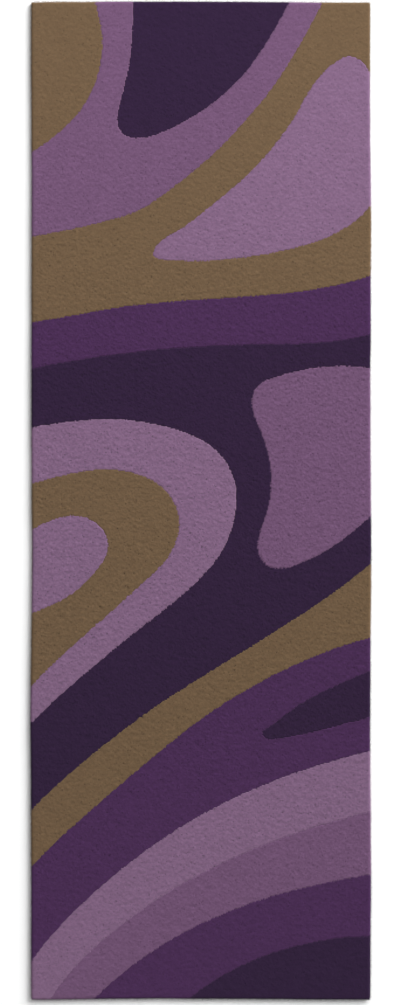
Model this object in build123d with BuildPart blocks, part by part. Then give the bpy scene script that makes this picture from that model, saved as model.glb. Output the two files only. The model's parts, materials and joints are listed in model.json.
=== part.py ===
from build123d import *
import os

# A tufted runner rug with a pattern of wide curved bands. It lies flat with its pile up.
# Millimetres. X runs across the rug, Y along it and Z up, and the origin is on the floor
# under the rug's middle. From the floor up it is made of hem tape and secondary backing,
# latex, primary backing and pile.

# Driving sizes
width = 813
length = 2388
total_height = 12
corner_radius = 5
pile_shoulder = 3  # rounding where the pile's top turns down into its sides

# The cloths and the latex under the pile
cloth_setback = 1.5  # the pile leans out past the backing's fold by this much
primary_thickness = 0.8
latex_thickness = 0.8
secondary_thickness = 1.2
folded_margin = 40  # how far the primary backing is turned under all round

# Hem tape over the raw edge of the folded margin
tape_thickness = 0.5
tape_width = 44
tape_setback = 4  # from the backing's fold to the tape's outer edge

# Care label on the underside, blank
label_length = 70
label_width = 36
label_thickness = 0.4
label_x = 300
label_y = -1080

# Worked out from the sizes above
latex_bottom = secondary_thickness
primary_bottom = latex_bottom + latex_thickness
pile_bottom = primary_bottom + primary_thickness
pile_height = total_height - pile_bottom
backing_width = width - 2 * cloth_setback
backing_length = length - 2 * cloth_setback
backing_radius = corner_radius - cloth_setback
seam_width = backing_width - 2 * folded_margin
seam_length = backing_length - 2 * folded_margin
taped_width = backing_width - 2 * tape_setback
taped_length = backing_length - 2 * tape_setback

os.makedirs("parts", exist_ok=True)


def save(part, name):
    """Name a finished piece and write it to its own file."""
    part.label = name
    export_step(part, f"parts/{name}.step")


# The pattern. Each patch of colour has a smooth edge through a few points, measured from the
# rug's lower left corner. The edges run a little way past the rug, and are closed out there.
left, right, bottom, top = -20, width + 20, -20, length + 20


def patch(edge, *closing_corners):
    """The area between a smooth edge and the straight lines that close it outside the rug."""
    with BuildSketch() as area:
        with BuildLine():
            curve = Spline(*edge)
            Polyline(curve @ 1, *closing_corners, curve @ 0)
        make_face()
    return area.sketch_local


tan_corner = patch(
    [(left, 2017), (71, 2080), (131, 2149), (162, 2225), (170, 2292), (153, 2385), (146, top)],
    (left, top),
)
dark_drop = patch(
    [
        (242, top),
        (242, 2310),
        (230, 2217),
        (210, 2135),
        (207, 2095),
        (222, 2071),
        (255, 2062),
        (323, 2080),
        (407, 2126),
        (491, 2196),
        (550, 2270),
        (603, 2360),
        (629, top),
    ],
)
plum_sweep = patch(
    [
        (left, 1822),
        (92, 1843),
        (190, 1866),
        (255, 1888),
        (330, 1937),
        (428, 2017),
        (512, 2103),
        (589, 2200),
        (648, 2296),
        (707, top),
    ],
    (left, top),
)
lilac_leaf = patch(
    [
        (right, 2195),
        (813, 2222),
        (790, 2249),
        (761, 2258),
        (730, 2245),
        (683, 2200),
        (639, 2128),
        (572, 2032),
        (476, 1937),
        (420, 1891),
        (351, 1840),
        (300, 1803),
        (292, 1781),
        (325, 1770),
        (416, 1768),
        (524, 1778),
        (646, 1803),
        (725, 1832),
        (778, 1865),
        (right, 1937),
    ],
)
tan_sweep = patch(
    [(left, 1617), (116, 1640), (236, 1660), (404, 1675), (572, 1687), (704, 1704), (right, 1740)],
    (right, top),
    (left, top),
)
violet_ribbon = patch(
    [(left, 1505), (116, 1531), (236, 1548), (404, 1563), (572, 1568), (692, 1572), (right, 1598)],
    (right, top),
    (left, top),
)
plum_lobe = patch(
    [
        (right, 1508),
        (740, 1516),
        (656, 1508),
        (584, 1489),
        (538, 1463),
        (528, 1434),
        (542, 1378),
        (568, 1302),
        (574, 1242),
        (561, 1158),
        (544, 1105),
        (544, 1069),
        (560, 1042),
        (591, 1031),
        (644, 1043),
        (721, 1083),
        (right, 1173),
    ],
)
lilac_loop = patch(
    [
        (left, 1366),
        (92, 1383),
        (188, 1389),
        (296, 1377),
        (380, 1352),
        (452, 1304),
        (485, 1247),
        (490, 1182),
        (464, 1086),
        (399, 1002),
        (270, 895),
        (140, 789),
        (left, 640),
    ],
)
tan_loop = patch(
    [
        (left, 1228),
        (92, 1258),
        (181, 1268),
        (260, 1255),
        (315, 1224),
        (351, 1165),
        (353, 1123),
        (321, 1050),
        (275, 1003),
        (153, 894),
        (left, 725),
    ],
)
lilac_core = patch(
    [
        (left, 1116),
        (49, 1147),
        (100, 1157),
        (149, 1144),
        (180, 1106),
        (181, 1067),
        (159, 1031),
        (107, 978),
        (49, 944),
        (left, 918),
    ],
)
tan_diagonal = patch(
    [
        (left, 433),
        (92, 540),
        (188, 619),
        (308, 707),
        (476, 813),
        (620, 903),
        (728, 976),
        (right, 1060),
    ],
    (right, bottom),
    (left, bottom),
)
violet_slope = patch(
    [
        (left, 297),
        (93, 408),
        (190, 493),
        (309, 594),
        (429, 686),
        (524, 745),
        (644, 806),
        (right, 870),
    ],
    (right, bottom),
    (left, bottom),
)
dark_sliver = patch(
    [
        (right, 793),
        (716, 744),
        (632, 698),
        (567, 650),
        (553, 635),
        (562, 625),
        (590, 623),
        (640, 632),
        (716, 650),
        (right, 679),
    ],
)
lilac_arc = patch(
    [(left, 60), (45, 149), (141, 246), (284, 362), (428, 452), (620, 537), (right, 598)],
    (right, bottom),
    (left, bottom),
)
plum_arc = patch(
    [(34, bottom), (94, 65), (188, 154), (332, 257), (476, 334), (644, 400), (right, 454)],
    (right, bottom),
)
violet_arc = patch(
    [(132, bottom), (224, 65), (333, 140), (429, 190), (572, 244), (692, 275), (right, 302)],
    (right, bottom),
)
dark_foot = patch(
    [(355, bottom), (437, 42), (525, 89), (608, 119), (704, 141), (right, 150)],
    (right, bottom),
)
with BuildSketch() as rug_area:
    Rectangle(width, length, align=(Align.MIN, Align.MIN))
whole_rug = rug_area.sketch_local

# Each field of one yarn: the patch that it fills, and the patches within it that it leaves free
pile_fields = {
    "dark_main_pile": (whole_rug, [violet_ribbon, plum_lobe, lilac_loop, tan_diagonal]),
    "violet_ribbon_pile": (violet_ribbon, [tan_sweep]),
    "tan_sweep_pile": (tan_sweep, [plum_sweep, lilac_leaf]),
    "lilac_leaf_pile": (lilac_leaf, []),
    "plum_sweep_pile": (plum_sweep, [tan_corner, dark_drop]),
    "tan_corner_pile": (tan_corner, []),
    "dark_drop_pile": (dark_drop, []),
    "plum_lobe_pile": (plum_lobe, []),
    "lilac_loop_pile": (lilac_loop, [tan_loop]),
    "tan_loop_pile": (tan_loop, [lilac_core]),
    "lilac_core_pile": (lilac_core, []),
    "tan_diagonal_pile": (tan_diagonal, [violet_slope]),
    "violet_slope_pile": (violet_slope, [dark_sliver, lilac_arc]),
    "dark_sliver_pile": (dark_sliver, []),
    "lilac_arc_pile": (lilac_arc, [plum_arc]),
    "plum_arc_pile": (plum_arc, [violet_arc]),
    "violet_arc_pile": (violet_arc, [dark_foot]),
    "dark_foot_pile": (dark_foot, []),
}

# All the pile as one block, which each field is cut from
with BuildPart() as pile_block:
    with BuildSketch(Plane.XY.offset(pile_bottom)):
        RectangleRounded(width, length, corner_radius)
    extrude(amount=pile_height)
    fillet(pile_block.faces().sort_by(Axis.Z)[-1].edges(), pile_shoulder)

pile_plane = Plane(origin=(-width / 2, -length / 2, pile_bottom))
for field_name, (area, free_areas) in pile_fields.items():
    with BuildPart() as pile_field:
        with BuildSketch(pile_plane):
            add(area)
            for free_area in free_areas:
                add(free_area, mode=Mode.SUBTRACT)
        extrude(amount=pile_height)
        add(pile_block.part, mode=Mode.INTERSECT)
    save(pile_field.part, field_name)

# Primary backing: the cloth that holds the tufts, wrapped round the latex and turned under
with BuildPart() as primary_backing:
    with BuildSketch(Plane.XY.offset(tape_thickness)):
        RectangleRounded(backing_width, backing_length, backing_radius)
    extrude(amount=pile_bottom - tape_thickness)
    fillet(primary_backing.edges().group_by(Axis.Z)[0], primary_thickness)
    with BuildSketch(Plane.XY.offset(latex_bottom)):
        RectangleRounded(
            backing_width - 2 * primary_thickness,
            backing_length - 2 * primary_thickness,
            backing_radius - primary_thickness,
        )
    extrude(amount=latex_thickness, mode=Mode.SUBTRACT)
    with BuildSketch(Plane.XY.offset(tape_thickness)):
        Rectangle(seam_width, seam_length)
    extrude(amount=latex_bottom - tape_thickness, mode=Mode.SUBTRACT)
save(primary_backing.part, "primary_backing")

# Latex: the layer of glue between the two backings
with BuildPart() as latex_layer:
    with BuildSketch(Plane.XY.offset(latex_bottom)):
        RectangleRounded(
            backing_width - 2 * primary_thickness,
            backing_length - 2 * primary_thickness,
            backing_radius - primary_thickness,
        )
    extrude(amount=latex_thickness)
save(latex_layer.part, "latex_layer")

# Secondary backing: the cloth that covers the latex, with its edge under the hem tape
with BuildPart() as secondary_backing:
    with BuildSketch():
        Rectangle(taped_width - 2 * tape_width, taped_length - 2 * tape_width)
    extrude(amount=tape_thickness)
    with BuildSketch(Plane.XY.offset(tape_thickness)):
        Rectangle(seam_width, seam_length)
    extrude(amount=secondary_thickness - tape_thickness)
    with BuildSketch(Plane((label_x, label_y, 0))):
        Rectangle(label_width, label_length)
    extrude(amount=label_thickness, mode=Mode.SUBTRACT)
save(secondary_backing.part, "secondary_backing")

# Care label: a blank woven tab, pressed flush into the secondary backing
with BuildPart() as care_label:
    with BuildSketch(Plane((label_x, label_y, 0))):
        Rectangle(label_width, label_length)
    extrude(amount=label_thickness)
save(care_label.part, "care_label")


# Hem tape: four strips that meet in mitred corners
def hem_tape(outer_length, reach, turn):
    """A strip at this reach from the middle, cut at 45 degrees at both ends, turned about Z."""
    half = outer_length / 2
    with BuildPart() as tape:
        with BuildSketch(Plane.XY.rotated((0, 0, turn))):
            with BuildLine():
                Polyline(
                    (-half, -reach),
                    (half, -reach),
                    (half - tape_width, tape_width - reach),
                    (tape_width - half, tape_width - reach),
                    close=True,
                )
            make_face()
        extrude(amount=tape_thickness)
    return tape.part


save(hem_tape(taped_width, taped_length / 2, 0), "hem_tape_bottom")
save(hem_tape(taped_length, taped_width / 2, 90), "hem_tape_right")
save(hem_tape(taped_width, taped_length / 2, 180), "hem_tape_top")
save(hem_tape(taped_length, taped_width / 2, 270), "hem_tape_left")
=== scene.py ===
import json
import math

import bpy
import numpy as np
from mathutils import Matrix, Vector
from mathutils.bvhtree import BVHTree


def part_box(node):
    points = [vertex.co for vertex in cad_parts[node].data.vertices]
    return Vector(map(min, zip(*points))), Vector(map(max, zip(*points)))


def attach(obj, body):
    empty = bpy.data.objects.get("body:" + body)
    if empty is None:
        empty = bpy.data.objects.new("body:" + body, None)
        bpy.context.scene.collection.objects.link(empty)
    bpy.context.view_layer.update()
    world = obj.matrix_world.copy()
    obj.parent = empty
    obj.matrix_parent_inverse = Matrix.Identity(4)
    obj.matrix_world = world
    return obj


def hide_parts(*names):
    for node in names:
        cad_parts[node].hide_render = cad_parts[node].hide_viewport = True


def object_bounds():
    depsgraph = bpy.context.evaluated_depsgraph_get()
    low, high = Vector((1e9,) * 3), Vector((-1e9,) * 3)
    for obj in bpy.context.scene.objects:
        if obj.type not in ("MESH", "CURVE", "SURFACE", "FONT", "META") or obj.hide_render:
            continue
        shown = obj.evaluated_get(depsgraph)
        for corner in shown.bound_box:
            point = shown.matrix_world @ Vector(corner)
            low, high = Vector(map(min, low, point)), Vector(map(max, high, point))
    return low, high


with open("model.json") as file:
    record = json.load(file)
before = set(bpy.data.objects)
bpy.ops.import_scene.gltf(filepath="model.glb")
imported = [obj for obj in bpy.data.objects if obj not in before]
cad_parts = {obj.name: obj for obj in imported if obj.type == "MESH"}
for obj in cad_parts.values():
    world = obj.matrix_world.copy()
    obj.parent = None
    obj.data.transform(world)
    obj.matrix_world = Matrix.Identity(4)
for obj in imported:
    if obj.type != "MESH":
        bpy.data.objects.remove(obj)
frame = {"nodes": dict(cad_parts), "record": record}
cad_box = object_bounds()

# A tufted runner rug, lying flat with its pile up. Metres. The CAD model gives the places of the
# fields of yarn and of the cloths under them; the tufts, weaves and stitches are made here.

MM = 0.001

# The camera
FOCAL_LENGTH = 200  # of its lens, in millimetres, as Blender takes it
FRAME_HEIGHT = 2.407  # how much of the rug's length the picture's height takes in
AIM = (0.0012, -0.0048)  # the point that it looks straight down at

# The floor and the studio
FLOOR_REACH = 60
FLOOR_COLOUR = (0.9, 0.9, 0.9, 1)
FILL_DISTANCE = 3.5
BAND_HEIGHTS = (0.13, 0.3)  # where the world's pale band begins to fade, and where it has faded
BAND_STRENGTHS = (1.0, 0.47)  # how bright the world is in the band, and above it

# The pile: a lattice of tufts, each a cell with its tip at the middle and gaps at its corners
TUFT_PITCH = 2.8 * MM
TUFT_RELIEF = 0.8 * MM  # from the gap between tufts to the tip
GAP_SPREAD = 0.3  # how much that differs from gap to gap, as a share of it
GAP_LIMITS = (0.3, 1.8)  # the least and the most of it
TIP_SPREAD = 0.16 * MM  # how unevenly the tips are cut
SWELL_RELIEF = 0.12 * MM  # the low swells where the pile leans together
LATTICE_JITTER = 0.2 * TUFT_PITCH
STRAY = 0.3 * TUFT_PITCH  # how far over the line between two yarns a tuft may stand
TONE_SPREAD = 0.088  # how much the tufts of one yarn differ in lightness
TUFT_SHARE, STREAK_SHARE = 0.5, 0.7  # how much of that is from tuft to tuft, and in streaks
ROUGH_MIDDLE = 1.0  # how rough the pile is in the middle of the rug
ROUGH_ENDS = 0.6  # and at its ends, where it lies smoother
PAINTED_LIGHT_SLOPE = 0.05  # painted light and shade: how much lighter the yarns' colour is made at the rug's upper end, and darker at its lower, for light falling off along the rug
SUNK_SHARE = 0.015  # tufts that stand deeper, and get painted shade on their colour
SUNK_DEPTH = 0.9 * MM
# painted shade: how much darker the colour of a sunk tuft is made
SUNK_PAINTED_SHADE = 0.33
SIDE_TIP, FIBRE_TIP = 0.8, 0.7  # how far the painted shade of the gaps is lifted on the side and the fibres: a tip is 1, a gap 0

# Over how many tufts the pile's unevenness is smoothed, along the rug and across it
SWELL_REACH = (1.2, 1.5)
STREAK_REACH = (0.65, 0.8)
STREAK_LEVEL = 2  # swells wider than this many rows are taken out of the streaks
TIP_REACH = (0, 0.3)
TONE_REACH = (0.4, 0.6)

# The rug's edge
CORNER_RADIUS = 5 * MM
SHOULDER_WIDTH = 6 * MM
SHOULDER_DROP = 1.7 * MM
SIDE_INSET = 1.4 * MM  # the standing tufts keep this far inside the CAD outline at the long sides
END_INSET = 0.7 * MM  # and at the ends
EDGE_WANDER = 0.25 * MM  # how far the edge strays from a straight line within a hand's breadth
EDGE_SWAY = 0.8 * MM  # and over the length of an arm
WANDER_REACH, SWAY_REACH = 12, 60  # how far each is smoothed along the edge, counted in tufts
EDGE_HOLD = 7  # a shift of the edge fades inwards as this power of the distance from the middle
SIDE_STEPS = [(0.78, 0.4 * MM), (0.52, 0.6 * MM), (0.24, 0.2 * MM), (0.0, -1.2 * MM)]
# from the shoulder down: share of the side's height, and how far the pile leans out there
TUFT_BULGE = 0.35 * MM  # how far a tuft stands out in the side past the gap beside it
BULGE_LIMITS = (0.6, 1.4)  # the least and the most of it, as a share
BULGE_RISE = 0.5 * TUFT_RELIEF  # how far above the gap a tuft stands there
SIDE_SPREAD = 0.15 * MM  # how uneven the side is

# Loose fibres along the edge, bent once
FIBRES = 4  # at each point
FIBRE_LENGTH = 5.5 * MM
FIBRE_SHARES = (0.4, 1.2)  # of that length
FIBRE_RADIUS = 0.2 * MM
FIBRE_TAPER = 0.8  # of that radius, at the bend
FIBRE_TURN = 0.8  # how far they turn to the side
FIBRE_SLOPES = (-0.5, 0.4)  # and how far they slope down or up
FIBRE_ROOT = 0.6 * MM  # how deep inside the side they start
FIBRE_HEIGHTS = (-2.5 * MM, 0.3 * MM)  # from the gaps' height
FIBRE_BEND = 0.55  # where the bend is, as a share of the length
FIBRE_DROOP = 0.25  # how far the end hangs at most, as a share of the whole length

# The primary backing's folded edge
FOLD_RADIUS = 3.5 * MM  # at the rug's corners, seen from above
FOLD_STEPS = 6
FOLD_PITCH = 3 * MM  # between the points along the fold
FOLD_WANDER = 0.15 * MM

# The cloths on the underside: the pitch of each one's lattice, and how deep its weave is
CANVAS_PITCH = 6 * MM
CANVAS_RELIEF = 0.25 * MM
TAPE_PITCH = 4 * MM
TAPE_RELIEF = 0.12 * MM
TAPE_SPREAD = 0.2  # how much the tape's relief differs from place to place, as a share of it
TAPE_LIMITS = (0.4, 1.6)  # the least and the most of it
SELVEDGE_RELIEF = 0.3  # of the tape's relief, along its two edges
LABEL_PITCH = 1.5 * MM
LABEL_RELIEF = 0.05 * MM
LABEL_SEAM = 4 * MM  # from the label's end to its stitches
WEAVE_TONE = 0.06  # how much lighter and darker than the mean the cells of a cloth are, in turn
CELL_TONE_SPREAD = 0.04  # and how much they differ at random

# Stitches
STITCH_LENGTH = 5 * MM
STITCH_PITCH = 8 * MM
THREAD_RADIUS = 0.3 * MM
THREAD_SIDES = 6
STITCH_BEND = [(0, 0.35 * MM), (0.18, 0.08 * MM), (0.5, 0), (0.82, 0.08 * MM), (1, 0.35 * MM)]
# from end to end: share of the stitch's length, and how far it has risen into the cloth there
GROOVE_DEPTH = 0.3 * MM  # how far a row of stitches draws the cloth in
GROOVE_SLOPE = 0.4  # of that depth, beside the stitches
SEAM_CELL = 1.5  # how many cells of the tape's lattice each row of stitches is in from its edge

YARN_COLOURS = {
    "yarn_tan": (0.137, 0.086, 0.046),
    "yarn_plum": (0.144, 0.072, 0.147),
    "yarn_dark": (0.023, 0.0083, 0.035),
    "yarn_violet": (0.056, 0.0185, 0.073),
    "yarn_lilac": (0.193, 0.108, 0.193),
}
CLOTH_COLOUR = (0.30, 0.26, 0.20)
CANVAS_COLOUR = (0.36, 0.31, 0.24)
TAPE_COLOUR = (0.030, 0.024, 0.037)
LABEL_COLOUR = (0.68, 0.67, 0.62)
LATEX_COLOUR = (0.46, 0.41, 0.31)

rng = np.random.default_rng(7)


# ---- Camera, floor and light ----

def add_object(name, data):
    added = bpy.data.objects.new(name, data)
    bpy.context.scene.collection.objects.link(added)
    return added


def add_camera():
    """Straight above the rug, at the distance where the rug nearly fills the frame's height."""
    camera = add_object("camera", bpy.data.cameras.new("camera"))
    camera.data.lens = FOCAL_LENGTH
    camera.data.clip_end = 100
    distance = FRAME_HEIGHT * FOCAL_LENGTH / camera.data.sensor_width
    camera.location = (*AIM, cad_box[1][2] + distance)
    bpy.context.scene.camera = camera


def add_floor():
    reach = FLOOR_REACH
    mesh = bpy.data.meshes.new("floor")
    corners = [(-reach, -reach, 0), (reach, -reach, 0), (reach, reach, 0), (-reach, reach, 0)]
    mesh.from_pydata(corners, [], [(0, 1, 2, 3)])
    mesh.materials.append(floor_material())
    add_object("floor", mesh)


def light_from(elevation, azimuth, light):
    """Adds a light that shines from this direction, in degrees, and returns the way to it."""
    elevation, azimuth = math.radians(elevation), math.radians(azimuth)
    direction = Vector((
        math.cos(elevation) * math.cos(azimuth),
        math.cos(elevation) * math.sin(azimuth),
        math.sin(elevation),
    ))
    lamp = add_object(light.name, light)
    lamp.rotation_euler = direction.to_track_quat("Z", "Y").to_euler()
    lamp.visible_camera = False
    return lamp, direction


def add_lights():
    """A wide soft key light from beyond the rug's upper right corner, and a fill from its top."""
    key = bpy.data.lights.new("key", "SUN")
    key.angle = math.radians(45)
    key.energy = 5.2
    light_from(elevation=22, azimuth=40, light=key)

    fill = bpy.data.lights.new("fill", "AREA")
    fill.shape = "DISK"
    fill.size = 2
    fill.energy = 36
    lamp, direction = light_from(elevation=40, azimuth=70, light=fill)
    lamp.location = direction * FILL_DISTANCE


def set_world():
    """A dim studio with a pale band all round it, low down."""
    world = bpy.data.worlds.new("studio")
    world.use_nodes = True
    tree = world.node_tree
    background = tree.nodes["Background"]
    background.inputs["Color"].default_value = (1.0, 1.0, 1.0, 1.0)
    direction = tree.nodes.new("ShaderNodeTexCoord")
    height = tree.nodes.new("ShaderNodeSeparateXYZ")
    strength = tree.nodes.new("ShaderNodeMapRange")
    for end, height_there, strength_there in zip(("Min", "Max"), BAND_HEIGHTS, BAND_STRENGTHS):
        strength.inputs[f"From {end}"].default_value = height_there
        strength.inputs[f"To {end}"].default_value = strength_there
    tree.links.new(direction.outputs["Generated"], height.inputs[0])
    tree.links.new(height.outputs["Z"], strength.inputs["Value"])
    tree.links.new(strength.outputs[0], background.inputs["Strength"])
    bpy.context.scene.world = world
    bpy.context.scene.view_settings.view_transform = "Standard"


# ---- Materials ----

class Nodes:
    """A material under construction: adds nodes, and links their sockets or sets their values."""

    def __init__(self, name):
        self.material = bpy.data.materials.new(name)
        self.material.use_nodes = True
        self.tree = self.material.node_tree
        self.shader = self.tree.nodes["Principled BSDF"]
        self.place = self.add("ShaderNodeTexCoord").outputs["Object"]

    def add(self, kind, **settings):
        node = self.tree.nodes.new(kind)
        for key, value in settings.items():
            setattr(node, key, value)
        return node

    def feed(self, node, socket, value):
        if isinstance(value, bpy.types.NodeSocket):
            self.tree.links.new(value, node.inputs[socket])
        else:
            node.inputs[socket].default_value = value

    def math(self, operation, a, b=0.0):
        node = self.add("ShaderNodeMath", operation=operation)
        self.feed(node, 0, a)
        self.feed(node, 1, b)
        return node.outputs[0]

    def spread(self, value, low, high):
        """A value from 0 to 1 stretched over a new range."""
        return self.math("ADD", self.math("MULTIPLY", value, high - low), low)

    def product(self, *factors):
        result = factors[0]
        for factor in factors[1:]:
            result = self.math("MULTIPLY", result, factor)
        return result

    def attribute(self, name):
        return self.add("ShaderNodeAttribute", attribute_name=name).outputs["Fac"]

    def noise(self, scale, detail=2.0):
        node = self.add("ShaderNodeTexNoise")
        self.feed(node, "Vector", self.place)
        self.feed(node, "Scale", scale)
        self.feed(node, "Detail", detail)
        return node.outputs["Fac"]

    def round_profile(self, place):
        """How high a row of round yarns side by side stands at a place, counted in yarns."""
        return self.math("SINE", self.math("MULTIPLY", self.math("FRACT", place), math.pi))

    def set_colour(self, colour, factor):
        """The base colour: one colour times a factor that varies."""
        node = self.add("ShaderNodeVectorMath", operation="SCALE")
        self.feed(node, 0, colour)
        self.feed(node, "Scale", factor)
        self.feed(self.shader, "Base Color", node.outputs[0])

    def set_bump(self, height, distance, strength=1.0):
        node = self.add("ShaderNodeBump")
        self.feed(node, "Height", height)
        self.feed(node, "Distance", distance)
        self.feed(node, "Strength", strength)
        self.feed(self.shader, "Normal", node.outputs[0])

    def set_values(self, **values):
        for socket, value in values.items():
            self.shader.inputs[socket.replace("_", " ")].default_value = value


def yarn_material(name, colour):
    """Matt wool, cut short: each tuft has its own tone, and painted shade darkens the gaps between
    tufts.
    """
    nodes = Nodes(name)
    # tone: each tuft's own tone, plus painted light and shade along the rug and painted shade on
    # sunk tufts
    tone = nodes.math("ADD", nodes.attribute("tone"), 1.0)
    # painted shade: the colour darkens from the tufts' tips down into the gaps between them
    painted_gap_shade = nodes.spread(nodes.attribute("tip"), 0.82, 1.04)
    mottling = nodes.spread(nodes.noise(scale=22, detail=3), 0.94, 1.06)
    fibres = nodes.spread(nodes.noise(scale=2200, detail=1), 0.85, 1.15)
    nodes.set_colour(colour, nodes.product(tone, painted_gap_shade, mottling, fibres))
    roughness = nodes.spread(nodes.noise(scale=900, detail=1), 0.84, 1.0)
    nodes.feed(nodes.shader, "Roughness", roughness)
    nodes.set_values(Specular_IOR_Level=0.15, Sheen_Weight=0.08, Sheen_Roughness=0.5)
    nodes.set_bump(nodes.noise(scale=1500, detail=2), 0.25 * MM, strength=0.6)
    return nodes.material


def woven_material(name, colour, pitch, repeat, over, step):
    """Cloth of yarns along Y that pass over and under yarns along X.

    Out of each run of `repeat` crossings, the first `over` have the yarn along Y on top, and each
    row of crossings starts its run `step` further on than the row before.
    """
    nodes = Nodes(name)
    place = nodes.add("ShaderNodeSeparateXYZ")
    nodes.feed(place, 0, nodes.place)
    across = nodes.math("DIVIDE", place.outputs["X"], pitch)
    along = nodes.math("DIVIDE", place.outputs["Y"], pitch)
    turn = nodes.math("MULTIPLY", nodes.math("FLOOR", along), step)
    turn = nodes.math("ADD", turn, nodes.math("FLOOR", across))
    turn = nodes.math("FLOORED_MODULO", turn, repeat)
    lengthwise_up = nodes.math("LESS_THAN", turn, over)
    crosswise_up = nodes.math("SUBTRACT", 1.0, lengthwise_up)
    round_yarns = nodes.math(
        "ADD",
        nodes.math("MULTIPLY", lengthwise_up, nodes.round_profile(across)),
        nodes.math("MULTIPLY", crosswise_up, nodes.round_profile(along)),
    )
    tone = nodes.math("ADD", nodes.attribute("tone"), 1.0)
    # painted shade: the cloth's colour darkens from the crowns of its weave into the holes between
    # them
    painted_gap_shade = nodes.spread(nodes.attribute("tip"), 0.8, 1.05)
    light_and_dark_yarns = nodes.spread(lengthwise_up, 0.94, 1.06)
    shade = nodes.spread(round_yarns, 0.7, 1.1)
    slubs = nodes.spread(nodes.noise(scale=260, detail=3), 0.85, 1.15)
    stains = nodes.spread(nodes.noise(scale=9, detail=4), 0.9, 1.08)
    factor = nodes.product(tone, painted_gap_shade, light_and_dark_yarns, shade, slubs, stains)
    nodes.set_colour(colour, factor)
    roughness = nodes.spread(nodes.noise(scale=700, detail=2), 0.78, 0.98)
    nodes.feed(nodes.shader, "Roughness", roughness)
    nodes.set_values(Specular_IOR_Level=0.2, Sheen_Weight=0.05, Sheen_Roughness=0.5)
    nodes.set_bump(round_yarns, 0.3 * pitch, strength=0.7)
    return nodes.material


def thread_material(name, colour):
    """Sewing thread: twisted, so that fine slanting ridges run round it."""
    nodes = Nodes(name)
    twist = nodes.add("ShaderNodeTexWave", bands_direction="DIAGONAL")
    nodes.feed(twist, "Vector", nodes.place)
    nodes.feed(twist, "Scale", 400)
    # painted shade and highlight: the colour follows the twist's ridges, lighter on them and
    # darker between them, as the bump does
    nodes.set_colour(colour, nodes.spread(twist.outputs["Fac"], 1.1, 2.2))
    roughness = nodes.spread(nodes.noise(scale=900, detail=1), 0.55, 0.75)
    nodes.feed(nodes.shader, "Roughness", roughness)
    nodes.set_bump(twist.outputs["Fac"], 0.1 * MM)
    return nodes.material


def latex_material():
    """Dried latex: a dull yellowish skin, lumpy where it was spread, with pinholes."""
    nodes = Nodes("latex")
    lumps = nodes.noise(scale=120, detail=4)
    pinholes = nodes.add("ShaderNodeTexVoronoi")
    nodes.feed(pinholes, "Vector", nodes.place)
    nodes.feed(pinholes, "Scale", 350)
    pits = nodes.math("LESS_THAN", pinholes.outputs["Distance"], 0.18)
    skin = nodes.math("SUBTRACT", lumps, nodes.math("MULTIPLY", pits, 0.3))
    patches = nodes.spread(nodes.noise(scale=14, detail=3), 0.9, 1.1)
    nodes.set_colour(LATEX_COLOUR, nodes.product(nodes.spread(skin, 0.7, 1.2), patches))
    nodes.feed(nodes.shader, "Roughness", nodes.spread(lumps, 0.55, 0.8))
    nodes.set_bump(skin, 0.5 * MM, strength=0.8)
    return nodes.material


def floor_material():
    nodes = Nodes("floor")
    nodes.set_values(Base_Color=FLOOR_COLOUR, Roughness=1.0, Specular_IOR_Level=0.0)
    return nodes.material


# ---- Meshes ----

def add_mesh(name, points, polygons, material, flat=(), point_values=None, face_values=None):
    """A mesh object from groups of polygons, keeping only the points that they use.

    polygons is a list of index arrays, each for one size of polygon, and flat says which of them
    aren't smooth. point_values has a value for each point, and face_values for each polygon.
    """
    used, corners = np.unique(np.concatenate([p.ravel() for p in polygons]), return_inverse=True)
    sizes = np.concatenate([np.full(len(p), p.shape[1]) for p in polygons])
    smooth = np.concatenate([np.full(len(p), g not in flat) for g, p in enumerate(polygons)])
    mesh = bpy.data.meshes.new(name)
    mesh.vertices.add(len(used))
    mesh.vertices.foreach_set("co", points[used].astype(np.float32).ravel())
    mesh.loops.add(len(corners))
    mesh.loops.foreach_set("vertex_index", corners.astype(np.int32))
    mesh.polygons.add(len(sizes))
    mesh.polygons.foreach_set("loop_start", (np.cumsum(sizes) - sizes).astype(np.int32))
    mesh.update(calc_edges=True)
    mesh.polygons.foreach_set("use_smooth", smooth)
    for key, values in (point_values or {}).items():
        layer = mesh.attributes.new(key, "FLOAT", "POINT")
        layer.data.foreach_set("value", values[used].astype(np.float32))
    for key, values in (face_values or {}).items():
        layer = mesh.attributes.new(key, "FLOAT", "FACE")
        layer.data.foreach_set("value", values.astype(np.float32))
    mesh.materials.append(material)
    return add_object(name, mesh)


def smoothing(size, reach):
    """How much of each frequency is left when numbers are smoothed over this many neighbours."""
    return np.exp(-2 * (math.pi * reach * np.fft.fftfreq(size)) ** 2)


def lattice_noise(shape, row_reach, column_reach, level_reach=None):
    """Random numbers on a lattice, smoothed over this many rows and columns, with unit spread.

    With level_reach, swells wider than that many rows are taken out, which leaves streaks.
    """
    row_gain = smoothing(shape[0], row_reach)
    if level_reach is not None:
        row_gain = row_gain - smoothing(shape[0], level_reach)
    gain = np.outer(row_gain, smoothing(shape[1], column_reach))
    values = np.fft.ifft2(np.fft.fft2(rng.standard_normal(shape)) * gain).real
    return values / values.std()


def uneven(shape, spread, limits):
    """Random factors on a lattice: 1 on average, and within these limits."""
    return np.clip(1 + spread * rng.standard_normal(shape), *limits)


def cell_mean(values):
    """The mean of each lattice cell's four corners."""
    return (values[:-1, :-1] + values[1:, :-1] + values[:-1, 1:] + values[1:, 1:]) / 4


def cell_sides(corner):
    """The four sides of every cell of a lattice, counter-clockwise: where each starts and ends."""
    return [
        (corner[:-1, :-1], corner[:-1, 1:]),
        (corner[:-1, 1:], corner[1:, 1:]),
        (corner[1:, 1:], corner[1:, :-1]),
        (corner[1:, :-1], corner[:-1, :-1]),
    ]


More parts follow.
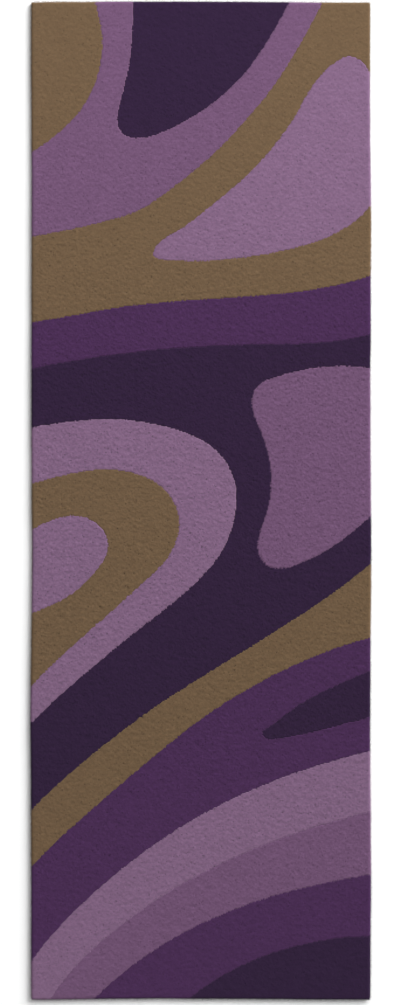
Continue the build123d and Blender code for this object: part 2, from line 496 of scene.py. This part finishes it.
def border(lattice):
    """The outermost entries of a lattice, counter-clockwise from its first."""
    return np.concatenate(
        [lattice[0, :-1], lattice[:-1, -1], lattice[-1, :0:-1], lattice[:0:-1, 0]]
    )


def ring_walls(rings):
    """The quads between counter-clockwise rings of points, which follow each other downwards."""
    onward = np.roll(rings, -1, axis=1)
    return np.stack([rings[:-1], rings[1:], onward[1:], onward[:-1]], axis=-1).reshape(-1, 4)


def rounded(x, y, half_x, half_y, radius):
    """Draws points of a rectangle in to its rounded corners."""
    over_x = np.maximum(np.abs(x) - (half_x - radius), 0)
    over_y = np.maximum(np.abs(y) - (half_y - radius), 0)
    reach = np.hypot(over_x, over_y)
    pull = 1 - np.maximum(over_x, over_y) / np.where(reach > 0, reach, 1)
    pull = np.where((over_x > 0) & (over_y > 0), pull, 0)
    return x - np.sign(x) * over_x * pull, y - np.sign(y) * over_y * pull


def closed_loops(edges):
    """The loops that directed edges make, each as a list of points."""
    following = dict(edges)
    loops = []
    while following:
        start, point = following.popitem()
        loop = [start]
        while point != start:
            loop.append(point)
            point = following.pop(point)
        loops.append(loop)
    return loops


# ---- Pile ----

OUTSIDE = -1  # what lies across a tuft's side where the rug ends
UP = np.array([0, 0, 1])
# A fibre has seven points: three round its root, three round its bend, and its end
FIBRE_POINTS = 7
FIBRE_SIDES = [
    (2, 1, 0),
    (0, 1, 4, 3), (1, 2, 5, 4), (2, 0, 3, 5),
    (3, 4, 6), (4, 5, 6), (5, 3, 6),
]


def without_pinches(fields):
    """Fields that never touch themselves at a corner alone: one more tuft closes such a place."""
    while True:
        a, b = fields[:-1, :-1], fields[:-1, 1:]
        c, d = fields[1:, :-1], fields[1:, 1:]
        rising = (a == d) & (a != b) & (a != c)
        falling = (b == c) & (b != a) & (b != d)
        if not rising.any() and not falling.any():
            return fields
        b[rising] = a[rising]
        a[falling & ~rising] = b[falling & ~rising]


class Pile:
    """The tufts of the whole rug on one lattice, which each field of yarn takes its share of.

    The outermost corners make a ring round the rug. With a point between each two of them, they
    carry the side of the pile, which goes down in steps to its foot on the backing.
    """

    def __init__(self, nodes):
        boxes = np.array([[list(corner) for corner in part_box(node)] for node in nodes])
        self.foot_z = boxes[:, 0, 2].min()
        self.tip_z = boxes[:, 1, 2].max()
        self.half_x, self.half_y = (boxes[:, 1].max(axis=0) - boxes[:, 0].min(axis=0))[:2] / 2
        columns = round(2 * self.half_x / TUFT_PITCH)
        rows = round(2 * self.half_y / TUFT_PITCH)
        x, y = np.meshgrid(
            np.linspace(-self.half_x, self.half_x, columns + 1),
            np.linspace(-self.half_y, self.half_y, rows + 1),
        )
        self.fields = without_pinches(self.field_under(nodes, cell_mean(x), cell_mean(y)))
        self.number_points(x.shape)
        self.place_points(x, y)

    def field_under(self, nodes, x, y):
        """The number of the CAD node that stands at each place, or just beside it."""
        x = np.clip(x + STRAY * rng.uniform(-1, 1, x.shape), x.min(), x.max())
        y = np.clip(y + STRAY * rng.uniform(-1, 1, y.shape), y.min(), y.max())
        x, y = rounded(x, y, self.half_x, self.half_y, CORNER_RADIUS)
        fields = np.zeros(x.shape, int)
        for number, node in enumerate(nodes):
            mesh = frame["nodes"][node].data
            solid = BVHTree.FromPolygons(
                [v.co for v in mesh.vertices], [tuple(p.vertices) for p in mesh.polygons]
            )
            start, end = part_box(node)
            near = (x > start.x) & (x < end.x) & (y > start.y) & (y < end.y)
            for j, i in np.argwhere(near):
                above = Vector((x[j, i], y[j, i], 1))
                if solid.ray_cast(above, Vector((0, 0, -1)))[0] is not None:
                    fields[j, i] = number
        return fields

    def number_points(self, shape):
        """Gives every point its number: corners, centres, feet, points between, then the side."""
        self.corner = np.arange(shape[0] * shape[1]).reshape(shape)
        self.centre = self.corner.size + np.arange(self.fields.size).reshape(self.fields.shape)
        self.foot = np.arange(self.corner.size) + self.corner.size + self.centre.size
        self.ring = border(self.corner)
        self.ring_place = dict(zip(self.ring.tolist(), range(len(self.ring))))
        between = np.arange(len(self.ring)) + self.foot[-1] + 1
        top = np.stack([self.ring, between], axis=1).ravel()
        side = np.arange(len(SIDE_STEPS) * len(top)).reshape(len(SIDE_STEPS), -1) + between[-1] + 1
        self.steps = np.vstack([top, side])
        self.foot[self.ring] = side[-1][::2]

    def surface(self, x, y):
        """The height of the tips, which roll over in a round shoulder at the rug's edge."""
        inside = np.minimum(self.half_x - np.abs(x), self.half_y - np.abs(y))
        rise = 1 - np.clip(inside / SHOULDER_WIDTH, 0, 1)
        return self.tip_z - SHOULDER_DROP * (1 - np.sqrt(1 - rise**2))

    def roughness(self, y):
        return ROUGH_MIDDLE + (ROUGH_ENDS - ROUGH_MIDDLE) * (y / self.half_y) ** 2

    def place_points(self, x, y):
        """Works out where every point is, each tuft's tone with its painted light and shade, the
        painted gap shade at each point, and how deep each point lies.
        """
        shape, tufts = x.shape, self.fields.shape
        swell = SWELL_RELIEF * lattice_noise(shape, *SWELL_REACH)
        rough = self.roughness(cell_mean(y))
        gap = TUFT_RELIEF * self.roughness(y) * uneven(shape, GAP_SPREAD, GAP_LIMITS)
        streaks = lattice_noise(tufts, *STREAK_REACH, level_reach=STREAK_LEVEL)
        sunk = rng.random(tufts) < SUNK_SHARE
        tones = TUFT_SHARE * lattice_noise(tufts, *TONE_REACH) + STREAK_SHARE * streaks
        self.tone = rough * TONE_SPREAD * tones
        # painted light and shade: the tone grows lighter towards the rug's upper end and darker
        # towards its lower
        # painted shade: a sunk tuft's tone is made darker, for the shade in its hollow
        self.tone += PAINTED_LIGHT_SLOPE * cell_mean(y) / self.half_y - SUNK_PAINTED_SHADE * rough * sunk
        tip = rough * TIP_SPREAD * (lattice_noise(tufts, *TIP_REACH) + streaks) - SUNK_DEPTH * sunk
        corner_z = self.surface(x, y) + swell - gap
        centre_z = self.surface(cell_mean(x), cell_mean(y)) + cell_mean(swell) + tip

        shift_x = LATTICE_JITTER * rng.uniform(-1, 1, shape)
        shift_y = LATTICE_JITTER * rng.uniform(-1, 1, shape)
        shift_x[:, [0, -1]] = 0
        shift_y[[0, -1], :] = 0
        x = x + shift_x + self.edge_shift(x / self.half_x, SIDE_INSET)
        y = y + shift_y + self.edge_shift((y / self.half_y).T, END_INSET).T
        x, y = rounded(x, y, self.half_x, self.half_y, CORNER_RADIUS)

        corners = np.stack([x, y, corner_z], axis=-1).reshape(-1, 3)
        centres = np.stack([cell_mean(x), cell_mean(y), centre_z], axis=-1).reshape(-1, 3)
        feet = corners * (1, 1, 0) + (0, 0, self.foot_z)
        between, side, outward = self.side_points(corners[self.ring])
        fibres = self.fibre_points(side[:len(outward)], outward)
        first_fibre = self.steps[-1, -1] + 1
        self.fibre = first_fibre + np.arange(len(fibres)).reshape(-1, FIBRES, FIBRE_POINTS)
        self.points = np.concatenate([corners, centres, feet, between, side, fibres])
        # painted shade on the pile: 1 at a tuft's tip, less on the side and the fibres, 0 in the
        # gaps
        self.tip = np.zeros(len(self.points))
        self.tip[self.centre] = 1
        self.tip[self.steps[:, 1::2]] = SIDE_TIP
        self.tip[self.fibre] = FIBRE_TIP

    def edge_shift(self, outward, inset):
        """How far to shift each place; outward is -1 at one edge of the rug and 1 at the other."""
        shift = np.zeros(outward.shape)
        for side in (-1, 1):
            line = (len(outward), 1)
            stray = EDGE_WANDER * lattice_noise(line, WANDER_REACH, 0)
            stray = stray + EDGE_SWAY * lattice_noise(line, SWAY_REACH, 0)
            stray -= stray.mean() + side * inset
            shift += (np.sign(outward) == side) * stray * np.abs(outward) ** EDGE_HOLD
        return shift

    def side_points(self, ring):
        """The points between the ring's corners, and the steps of the side under them all."""
        following = np.roll(ring, -1, axis=0)
        middle = (ring + following) / 2
        along = middle - np.roll(middle, 1, axis=0)
        outward = np.stack([outward_of(along), outward_of(following - ring)], axis=1)
        outward = outward.reshape(-1, 3)
        top = np.stack([ring, middle], axis=1).reshape(-1, 3)
        bulge = np.tile([0, TUFT_BULGE], len(ring))[:, None]
        bulge = bulge * rng.uniform(*BULGE_LIMITS, (len(top), 1))
        between = (top + outward * bulge)[1::2] + (0, 0, BULGE_RISE)
        height = (top[:, 2:] - self.foot_z).mean()
        side = []
        for share, lean in SIDE_STEPS:
            spread = SIDE_SPREAD * rng.standard_normal((len(top), 1)) * (share > 0)
            step = top + outward * (lean + spread + bulge * (share > 0))
            step[:, 2] = self.foot_z + share * height
            side.append(step)
        return between, np.concatenate(side), outward

    def fibre_points(self, edge, outward):
        """Loose fibres that lean out past the edge: three-sided, bent once and pointed."""
        along = np.stack([-outward[:, 1], outward[:, 0], 0 * outward[:, 0]], axis=1)
        shape = (len(edge), FIBRES, 1)
        sideways = FIBRE_TURN * rng.standard_normal(shape) * along[:, None]
        upward = rng.uniform(*FIBRE_SLOPES, shape) * UP
        way = outward[:, None] + sideways + upward
        length = FIBRE_LENGTH * rng.uniform(*FIBRE_SHARES, shape)
        way = length * way / np.linalg.norm(way, axis=2, keepdims=True)
        start = edge[:, None] - FIBRE_ROOT * outward[:, None]
        start = start + rng.uniform(*FIBRE_HEIGHTS, shape) * UP
        middle = start + FIBRE_BEND * way
        droop = rng.uniform(-FIBRE_DROOP, 0, shape) * FIBRE_LENGTH * UP
        points = []
        for place, radius in ((start, FIBRE_RADIUS), (middle, FIBRE_TAPER * FIBRE_RADIUS)):
            for turn in (0, 2 * math.pi / 3, 4 * math.pi / 3):
                way_round = math.cos(turn) * along[:, None] + math.sin(turn) * UP
                points.append(place + radius * way_round)
        points.append(start + way + droop)
        return np.stack(points, axis=2).reshape(-1, 3)

    def add_field(self, number, name, material):
        """One field of yarn: its tufts, its walls to other fields and the side, and a base."""
        polygons, tones, walls, base_edges, edge_places = [], [], [], [], []
        own = self.fields == number
        around = np.pad(self.fields, 1, constant_values=OUTSIDE)
        below, beyond = around[:-2, 1:-1], around[1:-1, 2:]
        above, before = around[2:, 1:-1], around[1:-1, :-2]
        for (start, end), across in zip(cell_sides(self.corner), (below, beyond, above, before)):
            inner = own & (across != OUTSIDE)
            polygons.append(np.stack([start[inner], end[inner], self.centre[inner]], axis=1))
            tones.append(self.tone[inner])
            beside = inner & (across != number)
            walls += list(zip(start[beside].tolist(), end[beside].tolist()))
            outer = own & (across == OUTSIDE)
            outer_tufts = zip(start[outer], self.centre[outer], self.tone[outer])
            for corner_point, centre, tone in outer_tufts:
                first = 2 * self.ring_place[int(corner_point)]
                edge_places += [first, first + 1]
                for place in (first, first + 1):
                    left = self.steps[:, place]
                    right = self.steps[:, (place + 1) % self.steps.shape[1]]
                    polygons.append(np.array([[left[0], right[0], centre]]))
                    polygons.append(np.stack([left[:-1], left[1:], right[1:], right[:-1]], axis=1))
                    tones.append(np.full(len(left), tone))
                    base_edges.append((right[-1], left[-1]))
        fibres = self.fibre[np.array(edge_places, int)].reshape(-1, FIBRE_POINTS)
        for corners_of_side in FIBRE_SIDES:
            polygons.append(fibres[:, corners_of_side])
            tones.append(TONE_SPREAD * rng.standard_normal(len(fibres)))
        smooth_groups = len(polygons)
        for start, end in walls:
            down = self.column(start)
            up = self.column(end)[::-1]
            polygons.append(np.array([down + up]))
            base_edges.append((up[0], down[-1]))
        polygons += [np.array([loop]) for loop in closed_loops(base_edges)]
        hidden = len(polygons) - smooth_groups
        tones.append(np.zeros(hidden))
        return add_mesh(
            name, self.points, polygons, material,
            flat=range(smooth_groups, len(polygons)),
            point_values={"tip": self.tip}, face_values={"tone": np.concatenate(tones)},
        )

    def column(self, point):
        """The points from a corner of the lattice down to its foot."""
        if point in self.ring_place:
            return self.steps[:, 2 * self.ring_place[point]].tolist()
        return [point, int(self.foot[point])]


def outward_of(along):
    """Unit vectors to the right of a counter-clockwise path, level with the floor."""
    outward = np.stack([along[:, 1], -along[:, 0], 0 * along[:, 0]], axis=1)
    return outward / np.linalg.norm(outward, axis=1, keepdims=True)


def finished(piece, slot, *nodes):
    """The piece, once it stands for these CAD nodes; the slot is not used."""
    if nodes:
        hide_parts(*nodes)
    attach(piece, "root")
    return piece


def add_pile():
    """The tufts of every field of yarn."""
    slots = {entry["node"]: entry["material_slot"] for entry in frame["record"]["subparts"]}
    nodes = [node for node in slots if node.endswith("_pile")]
    yarns = {slot: yarn_material(slot, colour) for slot, colour in YARN_COLOURS.items()}
    pile = Pile(nodes)
    pieces = []
    for number, node in enumerate(nodes):
        piece = pile.add_field(number, node.replace("_pile", "_tufts"), yarns[slots[node]])
        pieces.append(finished(piece, slots[node], node))
    return pieces


# ---- Cloths under the pile ----

def lattice_lines(breaks, pitch):
    """Lines at this pitch, or near it, with one at every break."""
    lines = [
        np.linspace(a, b, max(round((b - a) / pitch), 1), endpoint=False)
        for a, b in zip(breaks[:-1], breaks[1:])
    ]
    return np.concatenate([*lines, breaks[-1:]])


def add_cloth(name, x, y, corner_z, crown_z, top_z, material):
    """A closed sheet with its coarse weave down: a lattice of holes, with a crown in each cell."""
    corner = np.arange(x.size).reshape(x.shape)
    crown = np.arange(crown_z.size).reshape(crown_z.shape) + corner.size
    rim = border(corner)
    top = np.arange(len(rim)) + corner.size + crown.size
    corners = np.stack([x, y, corner_z], axis=-1).reshape(-1, 3)
    crowns = np.stack([cell_mean(x), cell_mean(y), crown_z], axis=-1).reshape(-1, 3)
    points = np.concatenate([corners, crowns, corners[rim] * (1, 1, 0) + (0, 0, top_z)])
    weave = [
        np.stack([end, start, crown], axis=-1).reshape(-1, 3) for start, end in cell_sides(corner)
    ]
    # painted shade: the tip attribute is 1 at each crown and 0 at the holes, where the colour is
    # darkened
    tip = np.zeros(len(points))
    tip[crown] = 1
    row, column = np.indices(crown.shape)
    tone = np.where((row + column) % 2, WEAVE_TONE, -WEAVE_TONE)
    tone = tone + CELL_TONE_SPREAD * rng.standard_normal(crown.shape)
    hidden = np.zeros(len(rim) + 1)
    return add_mesh(
        name, points, [*weave, ring_walls(np.vstack([top, rim])), top[None]], material,
        flat=(4, 5),
        point_values={"tip": tip},
        face_values={"tone": np.concatenate([np.tile(tone.ravel(), 4), hidden])},
    )


def add_primary_backing(pile_pieces):
    """The tufting cloth: its margin folds round the latex and under it, all along the edge."""
    start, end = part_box("primary_backing")
    latex_start, latex_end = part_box("latex_layer")
    margin = end.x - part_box("secondary_backing")[1].x
    thickness = end.z - latex_end.z
    half_fold = (end.z - start.z) / 2
    turns = np.linspace(math.pi / 2, -math.pi / 2, FOLD_STEPS + 1)
    section = []
    for turn in turns:
        inset, rise = half_fold * (1 - math.cos(turn)), half_fold * (1 + math.sin(turn))
        section.append((inset, start.z + rise, math.cos(turn)))
    section += [(margin, start.z, 0), (margin, latex_start.z, 0)]
    section += [(thickness, latex_start.z, 0), (thickness, latex_end.z, 0)]

    columns, rows = round(2 * end.x / FOLD_PITCH), round(2 * end.y / FOLD_PITCH)
    x, y = np.meshgrid(np.linspace(-1, 1, columns + 1), np.linspace(-1, 1, rows + 1))
    x, y = border(x), border(y)
    wander = FOLD_WANDER * lattice_noise((1, len(x)), 0, 1).ravel()
    points = []
    for inset, z, freedom in section:
        half_x, half_y = end.x - inset, end.y - inset
        radius = max(FOLD_RADIUS - inset, 0)
        inset_x, inset_y = rounded(x * half_x, y * half_y, half_x, half_y, radius)
        ring = np.stack([inset_x, inset_y, np.full(len(x), z)], axis=-1)
        outward = outward_of(np.roll(ring, -1, axis=0) - np.roll(ring, 1, axis=0))
        points.append(ring + outward * (wander * freedom)[:, None])
    rings = np.arange(len(section) * len(x)).reshape(len(section), -1)
    piece = add_mesh(
        "tufting_cloth", np.concatenate(points), [ring_walls(rings), rings[:1], rings[-1:, ::-1]],
        woven_material("tufting_cloth", CLOTH_COLOUR, pitch=1.1 * MM, repeat=2, over=1, step=1),
        flat=(1, 2), point_values={"tip": np.ones(rings.size)},
    )
    finished(piece, "tufting_cloth", "primary_backing")


def add_secondary_backing():
    """The canvas over the latex: it is hollowed for the hem tape at its edge and for the label."""
    start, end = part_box("secondary_backing")
    label_start, label_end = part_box("care_label")
    tape_x, tape_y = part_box("hem_tape_right")[0].x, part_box("hem_tape_top")[0].y
    tape_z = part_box("hem_tape_top")[1].z
    x, y = np.meshgrid(
        lattice_lines([start.x, -tape_x, label_start.x, label_end.x, tape_x, end.x], CANVAS_PITCH),
        lattice_lines([start.y, -tape_y, label_start.y, label_end.y, tape_y, end.y], CANVAS_PITCH),
    )
    over_tape = (np.abs(x) >= tape_x) | (np.abs(y) >= tape_y)
    over_label = (x >= label_start.x) & (x <= label_end.x)
    over_label &= (y >= label_start.y) & (y <= label_end.y)
    underside = np.where(over_tape, tape_z, np.where(over_label, label_end.z, 0))
    piece = add_cloth(
        "backing_canvas", x, y, underside + CANVAS_RELIEF, cell_mean(underside), end.z,
        woven_material("backing_cloth", CANVAS_COLOUR, pitch=1.5 * MM, repeat=2, over=1, step=1),
    )
    finished(piece, "backing_cloth", "secondary_backing")


def quarter_turned(x, y, turns):
    """Places turned by this many quarter turns about Z, counter-clockwise."""
    for _ in range(turns):
        x, y = -y, x
    return x, y


def add_hem_tapes():
    """Four strips of twill tape with mitred ends, each with two rows of stitches."""
    half_x, half_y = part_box("hem_tape_right")[1].x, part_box("hem_tape_top")[1].y
    width, thickness = half_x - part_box("hem_tape_right")[0].x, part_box("hem_tape_right")[1].z
    twill = woven_material("tape", TAPE_COLOUR, pitch=0.8 * MM, repeat=4, over=2, step=1)
    thread = thread_material("tape_thread", TAPE_COLOUR)
    rows = round(width / TAPE_PITCH)
    nodes = ("hem_tape_bottom", "hem_tape_right", "hem_tape_top", "hem_tape_left")
    for turns, node in enumerate(nodes):
        half, reach = (half_x, half_y) if turns % 2 == 0 else (half_y, half_x)
        across, along = np.meshgrid(
            np.linspace(0, width, rows + 1), np.linspace(-1, 1, round(2 * half / TAPE_PITCH) + 1),
            indexing="ij",
        )
        x, y = quarter_turned(along * (half - across), across - reach, turns)
        corner_z = TAPE_RELIEF * uneven(x.shape, TAPE_SPREAD, TAPE_LIMITS)
        corner_z[[0, -1]] *= SELVEDGE_RELIEF
        crown_z = np.zeros((rows, x.shape[1] - 1))
        crown_z[[1, -2]] = GROOVE_DEPTH
        corner_z[[1, 2, -3, -2]] += GROOVE_SLOPE * GROOVE_DEPTH
        piece = add_cloth(f"{node}_cloth", x, y, corner_z, crown_z, thickness, twill)
        finished(piece, "tape", node)

        starts, ends = [], []
        seam_inset = SEAM_CELL * width / rows
        for inset in (seam_inset, width - seam_inset):
            count = int(2 * (half - inset) / STITCH_PITCH)
            middles = (np.arange(count) - (count - 1) / 2) * STITCH_PITCH
            line = np.full(count, inset - reach)
            for places, reach_along in ((starts, -STITCH_LENGTH / 2), (ends, STITCH_LENGTH / 2)):
                places.append(np.column_stack(quarter_turned(middles + reach_along, line, turns)))
        stitches = add_stitches(
            f"{node}_stitches", np.concatenate(starts), np.concatenate(ends), thread
        )
        finished(stitches, "tape")


def add_stitches(name, starts, ends, material):
    """Bent threads on the underside, each of which goes up into the cloth at both its ends."""
    along = ends - starts
    aside = np.stack([-along[:, 1], along[:, 0]], axis=-1) / np.linalg.norm(along, axis=1)[:, None]
    angles = np.arange(THREAD_SIDES) * 2 * math.pi / THREAD_SIDES
    points = np.empty((len(starts), len(STITCH_BEND), THREAD_SIDES, 3))
    for number, (share, rise) in enumerate(STITCH_BEND):
        middle = starts + share * along
        points[:, number, :, :2] = (
            middle[:, None] + THREAD_RADIUS * np.cos(angles)[None, :, None] * aside[:, None]
        )
        points[:, number, :, 2] = THREAD_RADIUS * (1 + np.sin(angles)) + rise
    rings = np.arange(points.size // 3).reshape(points.shape[:3])
    onward = np.roll(rings, -1, axis=2)
    walls = np.stack([rings[:, :-1], onward[:, :-1], onward[:, 1:], rings[:, 1:]], axis=-1)
    return add_mesh(
        name, points.reshape(-1, 3),
        [walls.reshape(-1, 4), rings[:, 0, ::-1], rings[:, -1]], material,
        flat=(1, 2),
    )


def add_care_label():
    """A blank woven tab, sewn on by one end."""
    start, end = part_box("care_label")
    x, y = np.meshgrid(
        lattice_lines([start.x, end.x], LABEL_PITCH), lattice_lines([start.y, end.y], LABEL_PITCH)
    )
    sewn_y = end.y - LABEL_SEAM
    groove = GROOVE_DEPTH * np.exp(-((y - sewn_y) / LABEL_PITCH) ** 2)
    piece = add_cloth(
        "care_label_cloth", x, y, groove + LABEL_RELIEF, cell_mean(groove), end.z,
        woven_material("label", LABEL_COLOUR, pitch=0.5 * MM, repeat=5, over=1, step=2),
    )
    finished(piece, "label", "care_label")
    count = int((end.x - start.x) / STITCH_PITCH)
    middles = (start.x + end.x) / 2 + (np.arange(count) - (count - 1) / 2) * STITCH_PITCH
    line = np.full(count, sewn_y)
    stitches = add_stitches(
        "care_label_stitches",
        np.column_stack([middles - STITCH_LENGTH / 2, line]),
        np.column_stack([middles + STITCH_LENGTH / 2, line]),
        thread_material("label_thread", LABEL_COLOUR),
    )
    finished(stitches, "label")


def finish_latex():
    """The latex keeps its CAD shape, a plain layer shut in between the cloths."""
    mesh = frame["nodes"]["latex_layer"].data
    mesh.materials.clear()
    mesh.materials.append(latex_material())


add_camera()
add_floor()
add_lights()
set_world()
add_hem_tapes()
add_care_label()
add_secondary_backing()
finish_latex()
add_primary_backing(add_pile())
